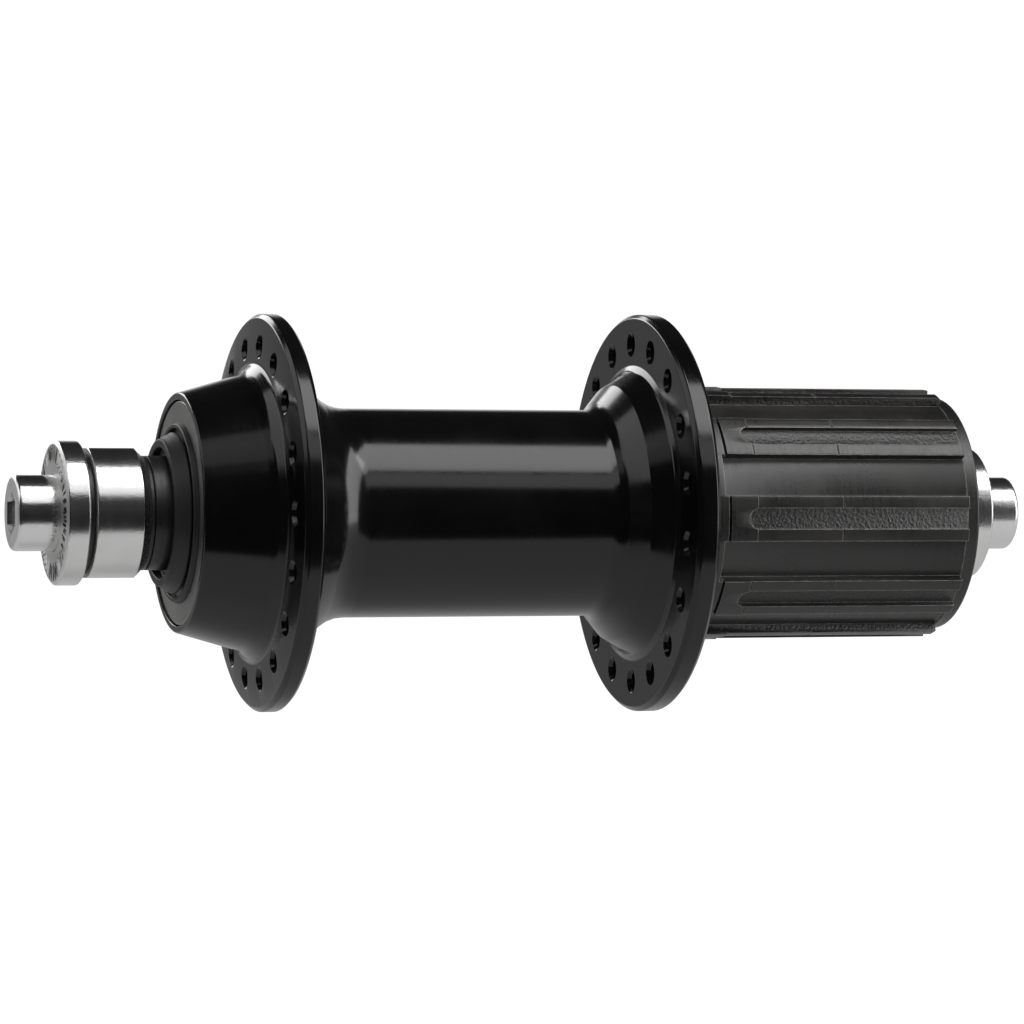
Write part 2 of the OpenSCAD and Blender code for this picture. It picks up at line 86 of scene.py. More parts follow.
class Tree:
    """A few short words for building a node tree."""

    def __init__(self, tree):
        self.tree = tree

    def node(self, kind, **values):
        made = self.tree.nodes.new(kind)
        for key, value in values.items():
            setattr(made, key, value)
        return made

    def link(self, out, into):
        if isinstance(out, (int, float)):
            into.default_value = out
        else:
            self.tree.links.new(out, into)

    def math(self, operation, a, b=0.0, clamp=False):
        made = self.node("ShaderNodeMath", operation=operation, use_clamp=clamp)
        self.link(a, made.inputs[0])
        self.link(b, made.inputs[1])
        return made.outputs[0]

    def radius(self, x, z):
        """Distance from the axle."""
        return self.math("SQRT", self.math("ADD", self.math("MULTIPLY", x, x), self.math("MULTIPLY", z, z)))

    def ramp(self, value, low, high, to_low=0.0, to_high=1.0):
        made = self.node("ShaderNodeMapRange", interpolation_type="SMOOTHSTEP")
        self.link(value, made.inputs["Value"])
        for key, number in (("From Min", low), ("From Max", high), ("To Min", to_low), ("To Max", to_high)):
            made.inputs[key].default_value = number
        return made.outputs["Result"]

    def mix(self, amount, a, b):
        made = self.node("ShaderNodeMix", data_type="RGBA")
        self.link(amount, made.inputs["Factor"])
        for value, into in ((a, made.inputs["A"]), (b, made.inputs["B"])):
            if isinstance(value, tuple):
                into.default_value = (*value, 1.0)
            else:
                self.link(value, into)
        return made.outputs["Result"]

    def noise(self, vector, scale, detail=3.0, w=None):
        made = self.node("ShaderNodeTexNoise", noise_dimensions="3D" if w is None else "4D")
        self.link(vector, made.inputs["Vector"])
        self.link(scale, made.inputs["Scale"])
        made.inputs["Detail"].default_value = detail
        if w is not None:
            self.link(w, made.inputs["W"])
        return made.outputs["Fac"]


def turned_marks():
    """Fine lines that a lathe leaves: they run round the axle on every face of a turned piece."""
    group = bpy.data.node_groups.new("turned_marks", "ShaderNodeTree")
    socket(group, "Lines per mm", "NodeSocketFloat", 6.0)
    socket(group, "Wander", "NodeSocketFloat", 0.6)
    socket(group, "Lines", "NodeSocketFloat", output=True)
    t = Tree(group)
    into = t.node("NodeGroupInput")
    out = t.node("NodeGroupOutput")
    place = t.node("ShaderNodeTexCoord").outputs["Object"]
    axes = t.node("ShaderNodeSeparateXYZ")
    t.link(place, axes.inputs[0])
    x, y, z = axes.outputs
    radius = t.radius(x, z)
    per_metre = t.math("MULTIPLY", into.outputs["Lines per mm"], PER_METRE)
    round_x = t.math("MULTIPLY", t.math("DIVIDE", x, radius), into.outputs["Wander"])
    round_z = t.math("MULTIPLY", t.math("DIVIDE", z, radius), into.outputs["Wander"])
    spot = t.node("ShaderNodeCombineXYZ")
    t.link(t.math("MULTIPLY", radius, per_metre), spot.inputs[0])
    t.link(t.math("MULTIPLY", y, per_metre), spot.inputs[1])
    t.link(round_x, spot.inputs[2])
    t.link(t.noise(spot.outputs[0], 1.0, 2.0, round_z), out.inputs["Lines"])
    return group


def surface_grain():
    """Cast or moulded grain, and soft patches where a surface was handled."""
    group = bpy.data.node_groups.new("surface_grain", "ShaderNodeTree")
    socket(group, "Grains per mm", "NodeSocketFloat", 3.0)
    socket(group, "Patches per mm", "NodeSocketFloat", 0.12)
    socket(group, "Grain", "NodeSocketFloat", output=True)
    socket(group, "Patches", "NodeSocketFloat", output=True)
    t = Tree(group)
    into = t.node("NodeGroupInput")
    out = t.node("NodeGroupOutput")
    place = t.node("ShaderNodeTexCoord").outputs["Object"]
    for name, result, detail in (("Grains per mm", "Grain", 4.0), ("Patches per mm", "Patches", 3.0)):
        scale = t.math("MULTIPLY", into.outputs[name], PER_METRE)
        t.link(t.noise(place, scale, detail), out.inputs[result])
    return group


def edge_wear_and_sheen():
    """White along outer edges, broken up so that it comes and goes; finishes use it for real edge wear and
    for a painted highlight along edges.
    """
    faint_bend, full_bend, patches_per_metre = 0.01, 0.12, 900.0
    group = bpy.data.node_groups.new("edge_wear_and_sheen", "ShaderNodeTree")
    socket(group, "Width", "NodeSocketFloat", 0.00015)
    socket(group, "Broken", "NodeSocketFloat", 0.5)
    socket(group, "Edge", "NodeSocketFloat", output=True)
    t = Tree(group)
    into = t.node("NodeGroupInput")
    out = t.node("NodeGroupOutput")
    soft = t.node("ShaderNodeBevel", samples=6)
    t.link(into.outputs["Width"], soft.inputs["Radius"])
    hard = t.node("ShaderNodeNewGeometry").outputs["Normal"]
    dot = t.node("ShaderNodeVectorMath", operation="DOT_PRODUCT")
    t.link(soft.outputs[0], dot.inputs[0])
    t.link(hard, dot.inputs[1])
    bend = t.ramp(t.math("SUBTRACT", 1.0, dot.outputs["Value"]), faint_bend, full_bend)
    patch = t.noise(t.node("ShaderNodeTexCoord").outputs["Object"], patches_per_metre, 4.0)
    broken = t.math("SUBTRACT", 1.0, t.math("MULTIPLY", into.outputs["Broken"], t.ramp(patch, 0.4, 0.6)))
    t.link(t.math("MULTIPLY", bend, broken, clamp=True), out.inputs["Edge"])
    return group


def rough_band():
    """Coarse pits between two radii from the axle, for floors that a cutter left rough."""
    group = bpy.data.node_groups.new("rough_band", "ShaderNodeTree")
    socket(group, "Low radius", "NodeSocketFloat", 16.1)
    socket(group, "High radius", "NodeSocketFloat", 16.8)
    socket(group, "Pits per mm", "NodeSocketFloat", 2.4)
    socket(group, "Pits", "NodeSocketFloat", output=True)
    t = Tree(group)
    into = t.node("NodeGroupInput")
    out = t.node("NodeGroupOutput")
    place = t.node("ShaderNodeTexCoord").outputs["Object"]
    axes = t.node("ShaderNodeSeparateXYZ")
    t.link(place, axes.inputs[0])
    x, _, z = axes.outputs
    radius = t.math("MULTIPLY", t.radius(x, z), PER_METRE)
    inside = t.math("MULTIPLY", t.math("GREATER_THAN", radius, into.outputs["Low radius"]),
                    t.math("LESS_THAN", radius, into.outputs["High radius"]))
    pits = t.noise(place, t.math("MULTIPLY", into.outputs["Pits per mm"], PER_METRE), 4.0)
    t.link(t.math("MULTIPLY", inside, pits), out.inputs["Pits"])
    return group


TURNED = turned_marks()
GRAIN = surface_grain()
EDGE = edge_wear_and_sheen()
PITS = rough_band()


PATCH_SHARE = 0.4          # how much of the roughness spread comes in soft patches
NOISE_BAND = (0.3, 0.7)    # noise values that the roughness follows
END_FACING = (0.6, 0.9)    # how far a face looks along the axle before it counts as an end face


def bumped(t, height, depth, normal):
    """Adds a bump to a normal or to the bare surface; its depth is in thousandths of a millimetre."""
    bump = t.node("ShaderNodeBump")
    bump.inputs["Distance"].default_value = depth * MICRON
    t.link(height, bump.inputs["Height"])
    if normal:
        t.link(normal, bump.inputs["Normal"])
    return bump.outputs["Normal"]


def finish(name, colour, second, metal, rough, spread=0.08, lines=6.0, line_depth=0.0, grains=3.0,
           grain_depth=0.0, wear_and_sheen_colour=None, wear_and_sheen_amount=0.0, edge_band_width=0.15, specular=0.5, end_rough=0.0, pitted=None):
    """A procedural finish. Depths are in thousandths of a millimetre, spread is how far roughness varies,
    end_rough is what end faces add to it, and pitted is (lower radius, upper radius, depth) of a
    rough band."""
    material = bpy.data.materials.new(name)
    material.use_nodes = True
    tree = material.node_tree
    t = Tree(tree)
    shader = tree.nodes["Principled BSDF"]
    shader.inputs["Metallic"].default_value = metal
    shader.inputs["Specular IOR Level"].default_value = specular

    grain = t.node("ShaderNodeGroup", node_tree=GRAIN)
    grain.inputs["Grains per mm"].default_value = grains
    turned = t.node("ShaderNodeGroup", node_tree=TURNED)
    turned.inputs["Lines per mm"].default_value = lines

    colour_mix = t.mix(t.ramp(grain.outputs["Patches"], 0.35, 0.65), colour, second)
    marks = t.math("ADD", t.math("MULTIPLY", turned.outputs["Lines"], 0.5),
                   t.math("MULTIPLY", grain.outputs["Grain"], 0.5))
    roughness = t.ramp(marks, *NOISE_BAND, rough - spread, rough + spread)
    patches = t.ramp(grain.outputs["Patches"], *NOISE_BAND, -spread * PATCH_SHARE, spread * PATCH_SHARE)
    roughness = t.math("ADD", roughness, patches, clamp=True)
    if end_rough:
        facing = t.node("ShaderNodeSeparateXYZ")
        t.link(t.node("ShaderNodeTexCoord").outputs["Normal"], facing.inputs[0])
        on_end = t.ramp(t.math("ABSOLUTE", facing.outputs[1]), *END_FACING, 0.0, end_rough)
        roughness = t.math("ADD", roughness, on_end, clamp=True)
    # Lighter colour along outer edges: real edge wear on most finishes, a painted highlight on the black
    # anodised shell and the seal rubber.
    if wear_and_sheen_colour:
        edge = t.node("ShaderNodeGroup", node_tree=EDGE)
        edge.inputs["Width"].default_value = edge_band_width * MM
        colour_mix = t.mix(t.math("MULTIPLY", edge.outputs["Edge"], wear_and_sheen_amount), colour_mix, wear_and_sheen_colour)
    t.link(colour_mix, shader.inputs["Base Color"])
    t.link(roughness, shader.inputs["Roughness"])

    normal = None
    for height, depth in ((turned.outputs["Lines"], line_depth), (grain.outputs["Grain"], grain_depth)):
        if depth:
            normal = bumped(t, height, depth, normal)
    if pitted:
        low_r, high_r, pit_depth = pitted
        pits = t.node("ShaderNodeGroup", node_tree=PITS)
        pits.inputs["Low radius"].default_value = low_r
        pits.inputs["High radius"].default_value = high_r
        normal = bumped(t, pits.outputs["Pits"], pit_depth, normal)
    if normal:
        t.link(normal, shader.inputs["Normal"])
    return material


FINISHES = {
    # The black anodised shell's lighter edge colour is a painted highlight along the flange edges, not wear.
    "black_anodised": finish("black_anodised", (0.0016, 0.0016, 0.0018), (0.0024, 0.0024, 0.0026), 0.0,
                             0.15, 0.035, lines=5.0, line_depth=0.35, wear_and_sheen_colour=(0.03, 0.03, 0.032), wear_and_sheen_amount=0.5,
                             specular=0.45),
    "plated_steel": finish("plated_steel", (0.71, 0.707, 0.703), (0.66, 0.657, 0.654), 1.0, 0.19, 0.04,
                           lines=9.0, line_depth=0.05, grains=4.0, grain_depth=13.0,
                           wear_and_sheen_colour=(0.88, 0.88, 0.87), wear_and_sheen_amount=0.6, end_rough=0.3),
    "axle_steel": finish("axle_steel", (0.76, 0.76, 0.76), (0.72, 0.72, 0.718), 1.0, 0.18, 0.04,
                         lines=12.0, line_depth=0.05, grains=4.0, grain_depth=13.0,
                         wear_and_sheen_colour=(0.88, 0.88, 0.87), wear_and_sheen_amount=0.6, end_rough=0.3),
    "dark_steel": finish("dark_steel", (0.008, 0.008, 0.009), (0.013, 0.013, 0.013), 0.1, 0.36, 0.1,
                         lines=7.0, line_depth=1.2, grain_depth=0.8, wear_and_sheen_colour=(0.09, 0.09, 0.09), wear_and_sheen_amount=0.5),
    "bearing_steel": finish("bearing_steel", (0.72, 0.72, 0.73), (0.66, 0.66, 0.67), 1.0, 0.08, 0.03,
                            grain_depth=0.1),
    "hard_steel": finish("hard_steel", (0.42, 0.42, 0.42), (0.34, 0.34, 0.34), 1.0, 0.3, 0.1, lines=6.0,
                         line_depth=0.8, wear_and_sheen_colour=(0.6, 0.6, 0.6), wear_and_sheen_amount=0.5),
    "freehub_coating": finish("freehub_coating", (0.0065, 0.0059, 0.0054), (0.0105, 0.0097, 0.0088), 0.0,
                              0.36, 0.09, lines=9.0, line_depth=0.3, grains=4.2, grain_depth=9.0,
                              wear_and_sheen_colour=(0.24, 0.232, 0.22), wear_and_sheen_amount=0.85, edge_band_width=0.2, specular=0.55,
                              pitted=(16.1, 16.8, 130.0)),
    "cap_steel": finish("cap_steel", (0.27, 0.27, 0.265), (0.33, 0.33, 0.32), 1.0, 0.42, 0.08, lines=7.0,
                        line_depth=1.0, wear_and_sheen_colour=(0.45, 0.45, 0.44), wear_and_sheen_amount=0.5),
    # The seal rubber's lighter edge colour is a painted highlight along its lip.
    "seal_rubber": finish("seal_rubber", (0.008, 0.008, 0.0085), (0.012, 0.012, 0.0125), 0.0, 0.5, 0.08,
                          grains=6.0, grain_depth=2.0, wear_and_sheen_colour=(0.05, 0.05, 0.05), wear_and_sheen_amount=0.6, specular=0.45),
}


# ---------------------------------------------------------------- shapes

ARC_STEP = math.radians(15)
SUPPORT = 0.08    # millimetres from a rounding to the ring that keeps the next face's shading flat
SUPPORT_SHARE = 0.3
ROUNDING_SHARE = 0.46    # most of a side that one rounding may take
SMALLEST = 0.005         # roundings below this, in millimetres, are left out
STRAIGHT = math.radians(89)
CORNER = 0.15     # usual rounding of an outer corner, in millimetres
SHARP = 32        # degrees past which an edge is shaded sharp


def rounded(outline):
    """Outline with each corner rounded. A point is (radius, station) or (radius, station, rounding)."""
    points = []
    count = len(outline)
    for i, point in enumerate(outline):
        here = Vector(point[:2])
        size = point[2] if len(point) > 2 else CORNER
        back = Vector(outline[i - 1][:2]) - here
        ahead = Vector(outline[(i + 1) % count][:2]) - here
        half = back.angle(ahead) / 2
        room = ROUNDING_SHARE * min(back.length, ahead.length)
        length = min(size / math.tan(half), room)
        size = length * math.tan(half)
        back_way, ahead_way = back.normalized(), ahead.normalized()
        if size < SMALLEST or half > STRAIGHT:
            points.append(here)
            continue
        middle = here + (back_way + ahead_way).normalized() * size / math.sin(half)
        start = here + back_way * length - middle
        end = here + ahead_way * length - middle
        turn = math.pi - 2 * half
        steps = max(2, math.ceil(turn / ARC_STEP))
        points.append(middle + start + back_way * min(SUPPORT, SUPPORT_SHARE * (0.5 * back.length - length)))
        for k in range(steps + 1):
            points.append(middle + start.slerp(end, k / steps) * size)
        points.append(middle + end + ahead_way * min(SUPPORT, SUPPORT_SHARE * (0.5 * ahead.length - length)))
    return points


def mesh_object(name, bm):
    """Turns a bmesh into an object in the scene, with its faces outwards."""
    bmesh.ops.recalc_face_normals(bm, faces=bm.faces)
    mesh = bpy.data.meshes.new(name)
    bm.to_mesh(mesh)
    bm.free()
    made = bpy.data.objects.new(name, mesh)
    bpy.context.scene.collection.objects.link(made)
    return made


def lathe(name, outline, steps=160):
    """A ring turned about the axle from a closed outline."""
    points = rounded(outline)
    bm = bmesh.new()
    rings = []
    for k in range(steps):
        x, z = math.cos(TAU * k / steps) * MM, math.sin(TAU * k / steps) * MM
        rings.append([bm.verts.new((p[0] * x, -p[1] * MM, p[0] * z)) for p in points])
    for k in range(steps):
        here, there = rings[k], rings[(k + 1) % steps]
        for j in range(len(points)):
            bm.faces.new((here[j], here[j - 1], there[j - 1], there[j]))
    return mesh_object(name, bm)


def prism(name, corners, t0, t1):
    """A straight block along the axle from corners of (x, z)."""
    bm = bmesh.new()
    ends = [[bm.verts.new((x * MM, -t * MM, z * MM)) for x, z in corners] for t in (t0, t1)]
    bm.faces.new(ends[0])
    bm.faces.new(reversed(ends[1]))
    for i in range(len(corners)):
        bm.faces.new((ends[0][i], ends[0][i - 1], ends[1][i - 1], ends[1][i]))
    return mesh_object(name, bm)


def radial_block(name, corners, r0, r1):
    """A block that points away from the axle along +X, from corners of (across, station)."""
    bm = bmesh.new()
    ends = [[bm.verts.new((r * MM, -t * MM, s * MM)) for s, t in corners] for r in (r0, r1)]
    bm.faces.new(ends[0])
    bm.faces.new(reversed(ends[1]))
    for i in range(len(corners)):
        bm.faces.new((ends[0][i], ends[0][i - 1], ends[1][i - 1], ends[1][i]))
    return mesh_object(name, bm)


def settle(piece):
    """Applies a piece's modifiers, so that it is a plain mesh."""
    bpy.context.view_layer.update()
    seen = piece.evaluated_get(bpy.context.evaluated_depsgraph_get())
    mesh = bpy.data.meshes.new_from_object(seen)
    piece.modifiers.clear()
    piece.data = mesh
    return piece


def ring_cut_tree():
    """Geometry Nodes: cuts copies of a shape, set evenly round the axle, out of a piece."""
    tree = bpy.data.node_groups.new("cut_round_the_axle", "GeometryNodeTree")
    socket(tree, "Geometry", "NodeSocketGeometry")
    socket(tree, "Shape", "NodeSocketObject")
    socket(tree, "Count", "NodeSocketInt", 18)
    socket(tree, "First angle", "NodeSocketFloat", 0.0)
    socket(tree, "Step angle", "NodeSocketFloat", 0.0)
    socket(tree, "Finish", "NodeSocketMaterial")
    socket(tree, "Geometry", "NodeSocketGeometry", output=True)
    t = Tree(tree)
    into = t.node("NodeGroupInput")
    out = t.node("NodeGroupOutput")
    shape = t.node("GeometryNodeObjectInfo", transform_space="ORIGINAL")
    t.link(into.outputs["Shape"], shape.inputs["Object"])
    points = t.node("GeometryNodePoints")
    t.link(into.outputs["Count"], points.inputs["Count"])
    index = t.node("GeometryNodeInputIndex").outputs[0]
    angle = t.math("ADD", into.outputs["First angle"],
                   t.math("MULTIPLY", into.outputs["Step angle"], index))
    turn = t.node("ShaderNodeCombineXYZ")
    t.link(t.math("MULTIPLY", angle, -1.0), turn.inputs[1])
    copies = t.node("GeometryNodeInstanceOnPoints")
    t.link(points.outputs[0], copies.inputs["Points"])
    t.link(shape.outputs["Geometry"], copies.inputs["Instance"])
    t.link(turn.outputs[0], copies.inputs["Rotation"])
    real = t.node("GeometryNodeRealizeInstances")
    t.link(copies.outputs[0], real.inputs[0])
    cut = t.node("GeometryNodeMeshBoolean", operation="DIFFERENCE", solver="EXACT")
    t.link(into.outputs["Geometry"], cut.inputs["Mesh 1"])
    t.link(real.outputs[0], cut.inputs["Mesh 2"])
    whole = t.node("GeometryNodeRealizeInstances")
    t.link(cut.outputs["Mesh"], whole.inputs[0])
    paint = t.node("GeometryNodeSetMaterial")
    t.link(whole.outputs[0], paint.inputs["Geometry"])
    t.link(into.outputs["Finish"], paint.inputs["Material"])
    t.link(paint.outputs[0], out.inputs[0])
    return tree


RING_CUT = ring_cut_tree()


def cut_round(piece, shape, count, first, step, material):
    """Cuts count copies of a shape out of a piece, round the axle; angles in degrees."""
    change = piece.modifiers.new("cuts", "NODES")
    change.node_group = RING_CUT
    values = {"Shape": shape, "Count": count, "First angle": math.radians(first),
              "Step angle": math.radians(step), "Finish": material}
    for item in RING_CUT.interface.items_tree:
        if item.in_out == "INPUT" and item.name in values:
            change[item.identifier] = values[item.name]
    settle(piece)
    bpy.data.objects.remove(shape)
    return piece


def bevelled(piece, width):
    """Small rounded edges where cuts left sharp ones."""
    segments, angle = 2, 35
    change = piece.modifiers.new("edges", "BEVEL")
    change.width = width * MM
    change.segments = segments
    change.limit_method = "ANGLE"
    change.angle_limit = math.radians(angle)
    change.use_clamp_overlap = True
    return settle(piece)


def placed(piece, node, slot):
    """Gives a finished piece its finish, its shading and its body, and hides the CAD node that it stands for.
    """
    material = FINISHES[slot]
    piece.data.materials.clear()
    piece.data.materials.append(material)
    for face in piece.data.polygons:
        face.use_smooth = True
        face.material_index = 0
    piece.data.set_sharp_from_angle(angle=math.radians(SHARP))
    for body, nodes in frame["record"]["behaviour"]["bodies"].items():
        if node in nodes:
            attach(piece, body)
    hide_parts(node)


# ---------------------------------------------------------------- axle group

BORE_ON_AXLE = 5.02
BEYOND = 1    # millimetres that a cutter runs past the face it opens
NUT_EDGE = 0.08    # width of the small edges along wrench flats, in millimetres


def key_socket(across, t0, t1):
    """Cutter for a six-sided key socket."""
    corner = across / math.sqrt(3)
    return prism("key", [(corner * math.cos(TAU * (i + 0.5) / 6), corner * math.sin(TAU * (i + 0.5) / 6))
                         for i in range(6)], t0, t1)


def axle():
    t0, t1, r = reach("axle")
    bore, key, key_depth, edge = 2.55, 5.2, 6.0, 0.12
    piece = lathe("axle_rod", [(bore, t0 + key_depth, 0), (bore, t0, 0.05), (r, t0, 0.6), (r, t1, 0.6),
                               (bore, t1, 0.05)], steps=96)
    for low, high in ((t0 - BEYOND, t0 + key_depth), (t1 - key_depth, t1 + BEYOND)):
        cut_round(piece, key_socket(key, low, high), 1, 0, 0, FINISHES["axle_steel"])
    placed(bevelled(piece, edge), "axle", "axle_steel")


# Rings of grooves in a locknut face: count, first angle, inner and outer radius, half the width.
SERRATIONS = ((47, 0.0, 7.0, 8.6, 0.2), (41, 3.0, 7.3, 8.9, 0.19), (29, 6.0, 6.6, 8.2, 0.2))


def serrated(piece, face, looks):
    """Cuts three uneven rings of short radial grooves into a locknut face."""
    depth = 0.45
    for count, first, r0, r1, width in SERRATIONS:
        groove = radial_block("groove", [(-width, face + looks), (width, face + looks), (width, face),
                                         (0, face - looks * depth), (-width, face)], r0, r1)
        cut_round(piece, groove, count, first, 360 / count, FINISHES["plated_steel"])


def left_grip_washer():
    t0, t1, r = reach("left_grip_washer")
    bevel_r, bevel_t = 0.45, 0.3
    outline = [(BORE_ON_AXLE, t0), (r - bevel_r, t0, 0.1), (r, t0 + bevel_t, 0.2), (r, t1, 0.3),
               (BORE_ON_AXLE, t1)]
    piece = lathe("left_grip_washer_turned", outline, steps=176)
    serrated(piece, t0, -1)
    placed(piece, "left_grip_washer", "plated_steel")


def right_locknut():
    t0, t1, r = reach("right_locknut")
    bevel_r, bevel_t = 0.5, 0.35
    outline = [(BORE_ON_AXLE, t0), (r, t0, 0.2), (r, t1 - bevel_t, 0.2), (r - bevel_r, t1, 0.1),
               (BORE_ON_AXLE, t1)]
    piece = lathe("right_locknut_turned", outline, steps=176)
    serrated(piece, t1, 1)
    placed(piece, "right_locknut", "plated_steel")


def wrench_flat(across, t0, t1):
    """Cutter for the upper one of two wrench flats."""
    half, far = across / 2, 14
    return prism("flat", [(-far, half), (far, half), (far, half + far), (-far, half + far)], t0, t1)


def left_locknut():
    t0, t1, r = reach("left_locknut")
    across, chamfer = 17.0, 1.15
    piece = lathe("left_locknut_turned", [(BORE_ON_AXLE, t0), (r, t0, 0.25), (r, t1 - chamfer, 0.15),
                                          (r - chamfer, t1, 0.15), (BORE_ON_AXLE, t1)], steps=144)
    cut_round(piece, wrench_flat(across, t0 - BEYOND, t1 + BEYOND), 2, 0, 180, FINISHES["plated_steel"])
    placed(bevelled(piece, NUT_EDGE), "left_locknut", "plated_steel")


def ball_track(balls, outer_r, nose_r):
    """Track of a ball row on its cone, from the outer radius over the lowest point to the nose."""
    ball_r, gap, steps = 3.175, 0.09, 14
    low, high, row_r = reach(balls)
    pitch_r, track_r = row_r - ball_r, ball_r + gap
    start = math.acos((pitch_r - outer_r) / track_r)
    end = -math.acos((pitch_r - nose_r) / track_r)
    angles = [start + (end - start) * k / steps for k in range(steps + 1)]
    return [(pitch_r - track_r * math.cos(a), (low + high) / 2 - track_r * math.sin(a), 0) for a in angles]


def left_cone():
    t0, t1, _ = reach("left_cone")
    sleeve, sleeve_end, across, flats_end = 7.8, -46.9, 15.0, -50.0
    shoulder, shoulder_t, nose = 8.5, -46.5, 6.3
    track = ball_track("left_bearing_balls", shoulder, nose)
    outline = [(BORE_ON_AXLE, t0), (sleeve, t0, 0.12), (sleeve, sleeve_end, 0.3),
               (shoulder, shoulder_t, 0.1), *track, (nose, t1, 0.3), (BORE_ON_AXLE, t1)]
    piece = lathe("left_cone_turned", outline, steps=144)
    cut_round(piece, wrench_flat(across, t0 - BEYOND, flats_end), 2, 0, 180, FINISHES["dark_steel"])
    placed(bevelled(piece, NUT_EDGE), "left_cone", "dark_steel")


def plain_rings():
    """Washers and rings that are only turned."""
    rings = (("left_gasket_ring", "dark_steel", 0.25), ("left_lock_washer", "dark_steel", 0.15),
             ("right_lock_washer", "plated_steel", 0.2))
    for node, slot, corner in rings:
        t0, t1, r = reach(node)
        outline = [(BORE_ON_AXLE, t0), (r, t0, corner), (r, t1, corner), (BORE_ON_AXLE, t1)]
        placed(lathe(node + "_turned", outline, steps=128), node, slot)


def left_dust_seal():
    t0, t1, r = reach("left_dust_seal")
    grip, mouth, lip, bead_r, bead_t, web = 7.81, 8.65, 9.7, 0.12, 0.35, t1 - 0.9
    outline = [(mouth, t0, 0.2), (lip, t0, 0.3), (lip + bead_r, t0 + bead_t, 0.3), (r, t1, 0.3),
               (grip, t1, 0.1), (grip, web, 0.1), (mouth, web, 0.3)]
    placed(lathe("left_dust_seal_moulded", outline, steps=160), "left_dust_seal", "seal_rubber")


def right_dust_seal():
    t0, t1, r = reach("right_dust_seal")
    grip, taper = 8.45, 1.3
    outline = [(grip, t0, 0.05), (r, t0, 0.15), (r - taper, t1, 0.2), (grip, t1, 0.05)]
    placed(lathe("right_dust_seal_moulded", outline, steps=144), "right_dust_seal", "seal_rubber")


# ---------------------------------------------------------------- shell group

SPOKE_HOLES = 18
SPOKE_STEP = 360 / SPOKE_HOLES
LEFT_FLANGE = (-38.2, -35.0)
LEFT_CIRCLE_R = 22.3
RIGHT_FLANGE = (15.05, 18.25)
RIGHT_CIRCLE_R = 22.9


def spoke_cutter(circle_r, t0, t1):
    """Cutter for one spoke hole: a drilled hole, countersunk on both faces."""
    hole, sink, depth, over, sides = 1.27, 1.68, 0.5, 1.5, 28
    rings = ((sink + over, t0 - over), (sink, t0), (hole, t0 + depth), (hole, t1 - depth), (sink, t1),
             (sink + over, t1 + over))
    bm = bmesh.new()
    loops = [[bm.verts.new(((circle_r + r * math.cos(TAU * k / sides)) * MM, -t * MM,
                            r * math.sin(TAU * k / sides) * MM)) for k in range(sides)] for r, t in rings]
    for low, high in zip(loops, loops[1:]):
        for k in range(sides):
            bm.faces.new((low[k], low[k - 1], high[k - 1], high[k]))
    bm.faces.new(loops[0])
    bm.faces.new(loops[-1])
    return mesh_object("spoke_hole", bm)


def hub_shell():
    t0, t1, r = reach("hub_shell")
    left_in, left_out = LEFT_FLANGE
    right_out, right_in = RIGHT_FLANGE
    left_r, left_bevel_t, left_edge_t = 26.4, -37.75, -37.2
    bevel, left_bevel = 0.55, 0.5
    mouth, mouth_rim, seat, seat_t0, seat_t1 = 14.95, 15.85, 14.4, -46.9, -38.6
    cone, cone_t, cone_root, slope_top = 18.35, -39.75, 19.8, 19.7
    barrel, barrel_t0, barrel_t1, inside = 13.95, -28.15, 9.1, 11.6
    bell, bell_t, bell_top, bell_top_t, right_root = 17.35, 11.95, 19.3, 14.65, 20.1
    step_r, end_r, core_seat, socket_r, socket_t0, socket_t1 = 19.4, 18.3, 10.97, 8.02, 7.5, 15.2
    outline = [
        (mouth, t0, 0.12), (mouth_rim, t0, 0.32), (cone, cone_t, 2.2), (cone_root, left_in, 1.0),
        (LEFT_CIRCLE_R, left_in, 0), (left_r - bevel, left_bevel_t, 0.3), (left_r, left_edge_t, 0.3),
        (left_r, left_out - left_bevel, 0.3), (left_r - left_bevel, left_out, 0.3),
        (slope_top, left_out, 0.6), (barrel, barrel_t0, 6.3), (barrel, barrel_t1, 2.5), (bell, bell_t, 0.2),
        (bell_top, bell_top_t, 0.7), (right_root, right_out, 0.3), (r - bevel, right_out, 0.3),
        (r, right_out + bevel, 0.3), (r, right_in - bevel, 0.3), (r - bevel, right_in, 0.3),
        (step_r, right_in, 0.4), (end_r, t1, 0.3), (core_seat, t1, 0.1), (core_seat, socket_t1, 0.1),
        (socket_r, socket_t1, 0.1), (socket_r, socket_t0, 0.2), (inside, socket_t0, 0.5),
        (inside, seat_t1, 0.3), (seat, seat_t1, 0.1), (seat, seat_t0, 0.05), (mouth, seat_t0, 0.05),
    ]
    piece = lathe("hub_shell_turned", outline, steps=192)
    sides = ((LEFT_CIRCLE_R, LEFT_FLANGE, 0), (RIGHT_CIRCLE_R, RIGHT_FLANGE, SPOKE_STEP / 2))
    for circle_r, flange, first in sides:
        cutter = spoke_cutter(circle_r, *flange)
        cut_round(piece, cutter, SPOKE_HOLES, first, SPOKE_STEP, FINISHES["black_anodised"])
    placed(piece, "hub_shell", "black_anodised")


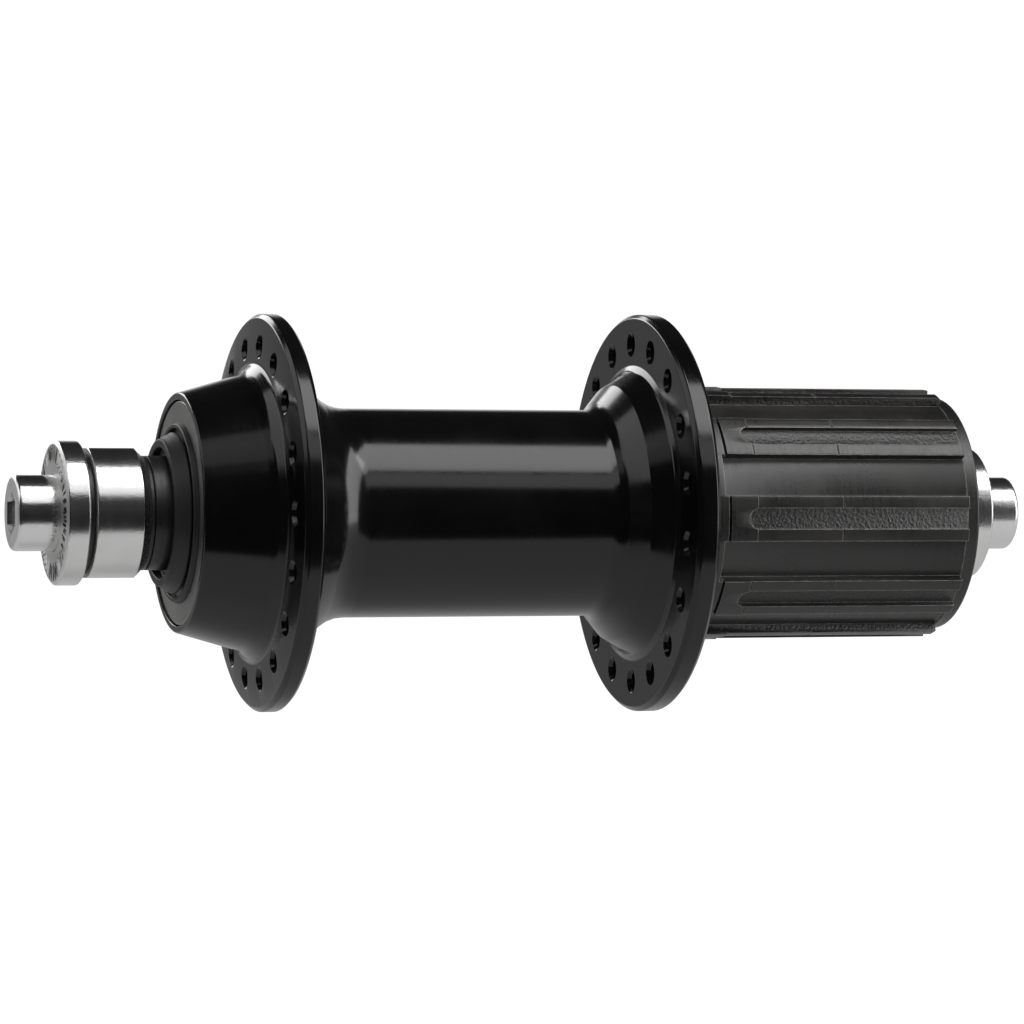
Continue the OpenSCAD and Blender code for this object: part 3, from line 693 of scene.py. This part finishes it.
def left_dust_cap():
    t0, t1, r = reach("left_dust_cap")
    face, collar, bore, sheet, dish = -48.15, 11.7, 8.75, 0.3, 0.5
    outline = [(bore, t1, 0.1), (r, t1, 0.1), (r, face, 0.35), (collar, face, 0.1),
               (collar, face + sheet, 0.1), (bore, face + dish, 0.15)]
    placed(lathe("left_dust_cap_pressed", outline, steps=176), "left_dust_cap", "cap_steel")
    inside, foot, foot_t, touch = 11.2, collar + 0.25, face - 0.1, 0.002
    outline = [(inside, face + sheet, 0.05), (inside, t0, 0.15), (collar, t0, 0.2), (foot, foot_t, 0.2),
               (foot, face - touch, 0.05)]
    placed(lathe("left_dust_cap_lip", outline, steps=160), "left_dust_cap", "seal_rubber")


def right_dust_cap():
    t0, t1, r = reach("right_dust_cap")
    bore, dish_in, dish_out, dish = 8.8, 9.7, 10.2, 0.3
    outline = [(bore, t0, 0.05), (r, t0, 0.05), (r, t1, 0.25), (dish_out, t1, 0.3),
               (dish_in, t1 - dish, 0.3), (bore, t1 - dish, 0.1)]
    placed(lathe("right_dust_cap_pressed", outline, steps=160), "right_dust_cap", "cap_steel")


# ---------------------------------------------------------------- freehub body

RIBS = 9
RIB_FIRST, RIB_PITCH, RIB_WIDTH, KEY_RIB, KEY_EXTRA = 182.6, 40.0, 20.5, 4, 6.0    # angles in degrees


def polar(r, degrees):
    """Point (x, z) at a radius and an angle."""
    return r * math.cos(math.radians(degrees)), r * math.sin(math.radians(degrees))


def ratchet_block():
    """Cutter for the ratchet teeth that the pawls catch."""
    teeth, phase, lean, root, tip, t0, t1 = 24, 11.45, 2.95, 14.4, 13.1, 26.5, 35.5
    corners = []
    for i in range(teeth):
        start = phase + 360 * i / teeth
        corners += [polar(root, start), polar(tip, start + lean)]
    return prism("ratchet", corners, t0, t1)


def valley_block(start, end, t0, t1):
    """Cutter for one valley, with its floor concentric with the axle."""
    floor, top, steps = 15.9, 19.0, 10
    angles = [start + (end - start) * k / steps for k in range(steps + 1)]
    corners = [polar(floor, a) for a in angles] + [polar(top, a) for a in reversed(angles)]
    return prism("valley", corners, t0, t1)


def groove_block(t0, t1):
    """Cutter for the groove in a rib, round at its inner end."""
    half, floor, top, steps = 1.42, 16.35, 19.0, 10
    bend = [(-half * math.cos(math.pi * k / steps), t0 + half - half * math.sin(math.pi * k / steps))
            for k in range(steps + 1)]
    return radial_block("groove", [(-half, t1)] + bend + [(half, t1)], floor, top)


def freehub_body():
    t0, t1, r = reach("freehub_body")
    rib_end, collar_end, groove_t, step, nick, nick_t = 57.8, 22.5, 25.85, 27.2, 0.14, 39.4
    slot_floor, slot_t0, slot_t1 = 16.5, 23.0, 23.28
    land, collar, collar_edge = r - 0.14, r - 0.1, 0.5
    spigot, thread, thread_t, race, race_t = 16.0, 14.8, 53.8, 14.65, 48.3
    ring, teeth_t1, throat, throat_t, inboard = 13.2, 35.5, 12.7, 23.25, 15.0
    outline = [
        (inboard, t0, 0.1), (r - collar_edge, t0, 0.2), (collar, t0 + collar_edge, 0.2),
        (collar, slot_t0, 0.08), (slot_floor, slot_t0, 0.03), (slot_floor, slot_t1, 0.03), (r, slot_t1, 0.08),
        (r, step - nick, 0.04), (land - nick, step, 0.03), (land, step + nick, 0.04),
        (land, nick_t - nick, 0.03), (land - nick, nick_t, 0.03), (land, nick_t + nick, 0.03),
        (land, rib_end, 0.2), (spigot, rib_end, 0.08), (spigot, t1, 0.35), (thread, t1, 0.15),
        (thread, thread_t, 0.1), (race, thread_t, 0.1), (race, race_t, 0.1), (ring, race_t, 0.1),
        (ring, teeth_t1, 0.1), (throat, teeth_t1, 0.1), (throat, throat_t, 0.1), (inboard, throat_t, 0.1),
    ]
    piece = lathe("freehub_body_machined", outline, steps=180)
    coat, edge, hair = FINISHES["freehub_coating"], 0.12, 0.001
    for i in range(RIBS):
        start = RIB_FIRST + i * RIB_PITCH + RIB_WIDTH / 2 + (KEY_EXTRA if i == KEY_RIB else 0)
        end = RIB_FIRST + (i + 1) * RIB_PITCH - RIB_WIDTH / 2
        cut_round(piece, valley_block(start, end, collar_end, rib_end + hair), 1, 0, 0, coat)
    cut_round(piece, groove_block(groove_t, rib_end + BEYOND), RIBS, RIB_FIRST, RIB_PITCH, coat)
    bevelled(piece, edge)
    cut_round(piece, ratchet_block(), 1, 0, 0, coat)
    placed(piece, "freehub_body", "freehub_coating")


# ---------------------------------------------------------------- the rest of the model

def cad_finishes():
    """CAD nodes that keep their own mesh get the finish of their material slot."""
    slots = {entry["node"]: entry["material_slot"] for entry in frame["record"]["subparts"]}
    for node, piece in frame["nodes"].items():
        piece.data.materials.clear()
        piece.data.materials.append(FINISHES[slots[node]])


# ---------------------------------------------------------------- stage, light and camera

VIEW_ANGLE = math.radians(17.76)
AHEAD = Vector((math.cos(VIEW_ANGLE), -math.sin(VIEW_ANGLE), 0))
RIGHT = Vector((-math.sin(VIEW_ANGLE), -math.cos(VIEW_ANGLE), 0))
UP = Vector((0, 0, 1))
FLOOR_DROP = 0.1


def stage_material(name, seen, pale):
    """Even and nearly white to the camera, softly shaded underneath."""
    even_share = 0.6
    material = bpy.data.materials.new(name)
    material.use_nodes = True
    t = Tree(material.node_tree)
    material.node_tree.nodes.clear()
    soft = t.node("ShaderNodeBsdfDiffuse")
    soft.inputs["Color"].default_value = (*pale, 1)
    glow = t.node("ShaderNodeEmission")
    glow.inputs["Strength"].default_value = seen
    blend = t.node("ShaderNodeMixShader")
    path = t.node("ShaderNodeLightPath")
    t.link(t.math("MULTIPLY", path.outputs["Is Camera Ray"], even_share), blend.inputs[0])
    t.link(soft.outputs[0], blend.inputs[1])
    t.link(glow.outputs[0], blend.inputs[2])
    t.link(blend.outputs[0], t.node("ShaderNodeOutputMaterial").inputs["Surface"])
    return material


def floor():
    """A wide round floor under the hub."""
    size, steps, seen, pale = 4.0, 48, 1.6, 0.4
    bm = bmesh.new()
    rim = [bm.verts.new((size * math.cos(TAU * k / steps), size * math.sin(TAU * k / steps), -FLOOR_DROP))
           for k in range(steps)]
    bm.faces.new(rim)
    piece = mesh_object("studio_floor", bm)
    piece.data.materials.append(stage_material("studio_floor", seen, (pale, pale, pale)))


def black_card():
    """A dark card in front of the hub, seen only in reflections."""
    away, left, right, low, high = 0.16, -0.9, 0.26, -FLOOR_DROP + 0.001, 0.095
    bm = bmesh.new()
    middle = -AHEAD * away
    corners = ((left, low), (right, low), (right, high), (left, high))
    bm.faces.new([bm.verts.new(middle + RIGHT * s + UP * z) for s, z in corners])
    piece = mesh_object("dark_card", bm)
    material = bpy.data.materials.new("dark_card")
    material.use_nodes = True
    shader = material.node_tree.nodes["Principled BSDF"]
    shader.inputs["Base Color"].default_value = (0.01, 0.01, 0.01, 1)
    shader.inputs["Roughness"].default_value = 1.0
    piece.data.materials.append(material)
    piece.visible_camera = False
    piece.visible_diffuse = False
    piece.visible_shadow = False


def softbox(name, direction, away, wide, tall, level, shift):
    """An area light that looks at the hub; level is its brightness where white is 1."""
    lamp = bpy.data.lights.new(name, "AREA")
    lamp.shape = "RECTANGLE"
    lamp.size = wide
    lamp.size_y = tall
    lamp.energy = level * math.pi * wide * tall
    made = bpy.data.objects.new(name, lamp)
    bpy.context.scene.collection.objects.link(made)
    place = direction.normalized() * away
    made.rotation_euler = (-place).to_track_quat("-Z", "Y").to_euler()
    made.location = place + RIGHT * shift
    made.visible_camera = False


def raised(degrees):
    """Direction from the hub towards the camera's side, raised by an angle."""
    return -AHEAD * math.cos(math.radians(degrees)) + UP * math.sin(math.radians(degrees))


def world():
    """White behind the hub, dim in reflections, and soft fill for matt surfaces."""
    behind, fill = 1.05, 0.6
    sky = bpy.data.worlds.new("studio")
    bpy.context.scene.world = sky
    sky.use_nodes = True
    t = Tree(sky.node_tree)
    sky.node_tree.nodes.clear()
    path = t.node("ShaderNodeLightPath")
    seen = t.math("MULTIPLY", path.outputs["Is Camera Ray"], behind)
    soft = t.math("MULTIPLY", path.outputs["Is Diffuse Ray"], fill)
    gloss = t.math("MULTIPLY", path.outputs["Is Glossy Ray"], reflected_room(t))
    back = t.node("ShaderNodeBackground")
    back.inputs["Color"].default_value = (1, 1, 1, 1)
    t.link(t.math("ADD", t.math("ADD", seen, soft), gloss), back.inputs["Strength"])
    t.link(back.outputs[0], t.node("ShaderNodeOutputWorld").inputs["Surface"])


def aligned(t, direction):
    """Cosine between the way a ray leaves the scene and a direction."""
    dot = t.node("ShaderNodeVectorMath", operation="DOT_PRODUCT")
    t.link(t.node("ShaderNodeTexCoord").outputs["Generated"], dot.inputs[0])
    dot.inputs[1].default_value = direction
    return dot.outputs["Value"]


def reflected_room(t):
    """Brightness of the room in reflections: a pale wall ahead, a dim one left of it, else dark."""
    dark, wall, side_wall = 0.02, 1.0, 0.24
    side = Vector((math.cos(VIEW_ANGLE), math.sin(VIEW_ANGLE), 0))
    backdrop = t.ramp(aligned(t, AHEAD), 0.9, 0.99, dark, wall)
    return t.math("ADD", backdrop, t.ramp(aligned(t, side), 0.75, 0.97, 0.0, side_wall))


def camera():
    """The camera, level and a little to the left end's side; places in metres."""
    lens, away, aside, above = 156.08, 0.6, 0.001864, 0.000127
    eye = bpy.data.cameras.new("camera")
    eye.lens = lens
    eye.sensor_width = 36.0
    made = bpy.data.objects.new("camera", eye)
    bpy.context.scene.collection.objects.link(made)
    made.location = -AHEAD * away - RIGHT * aside + UP * above
    made.rotation_euler = AHEAD.to_track_quat("-Z", "Y").to_euler()
    bpy.context.scene.camera = made


# Name, direction from the hub, distance, width, height, brightness, shift to the right; lengths in metres.
SOFTBOXES = (
    ("top_softbox", raised(69), 0.7, 0.62, 0.42, 3.9, 0.28),
    ("front_fill", raised(35), 0.7, 0.62, 0.34, 1.2, 0.28),
    ("right_fill", Vector((-0.42, -0.8, 0.36)), 0.7, 0.45, 0.86, 3.7, 0.0),
    ("left_fill", raised(55), 0.7, 0.45, 0.34, 0.55, -0.27),
    ("left_softbox", Vector((0.15, 0.8, 0.55)), 0.6, 0.5, 0.35, 1.2, 0.0),
    ("rear_left_softbox", Vector((0.86, 0.34, 0.44)), 0.7, 0.4, 0.22, 4.0, 0.0),
)


def build():
    cad_finishes()
    axle()
    left_grip_washer()
    left_locknut()
    left_cone()
    plain_rings()
    left_dust_seal()
    right_dust_seal()
    right_locknut()
    hub_shell()
    left_dust_cap()
    right_dust_cap()
    freehub_body()
    floor()
    black_card()
    for lamp in SOFTBOXES:
        softbox(*lamp)
    world()
    camera()
    bpy.context.scene.view_settings.view_transform = "Standard"


build()
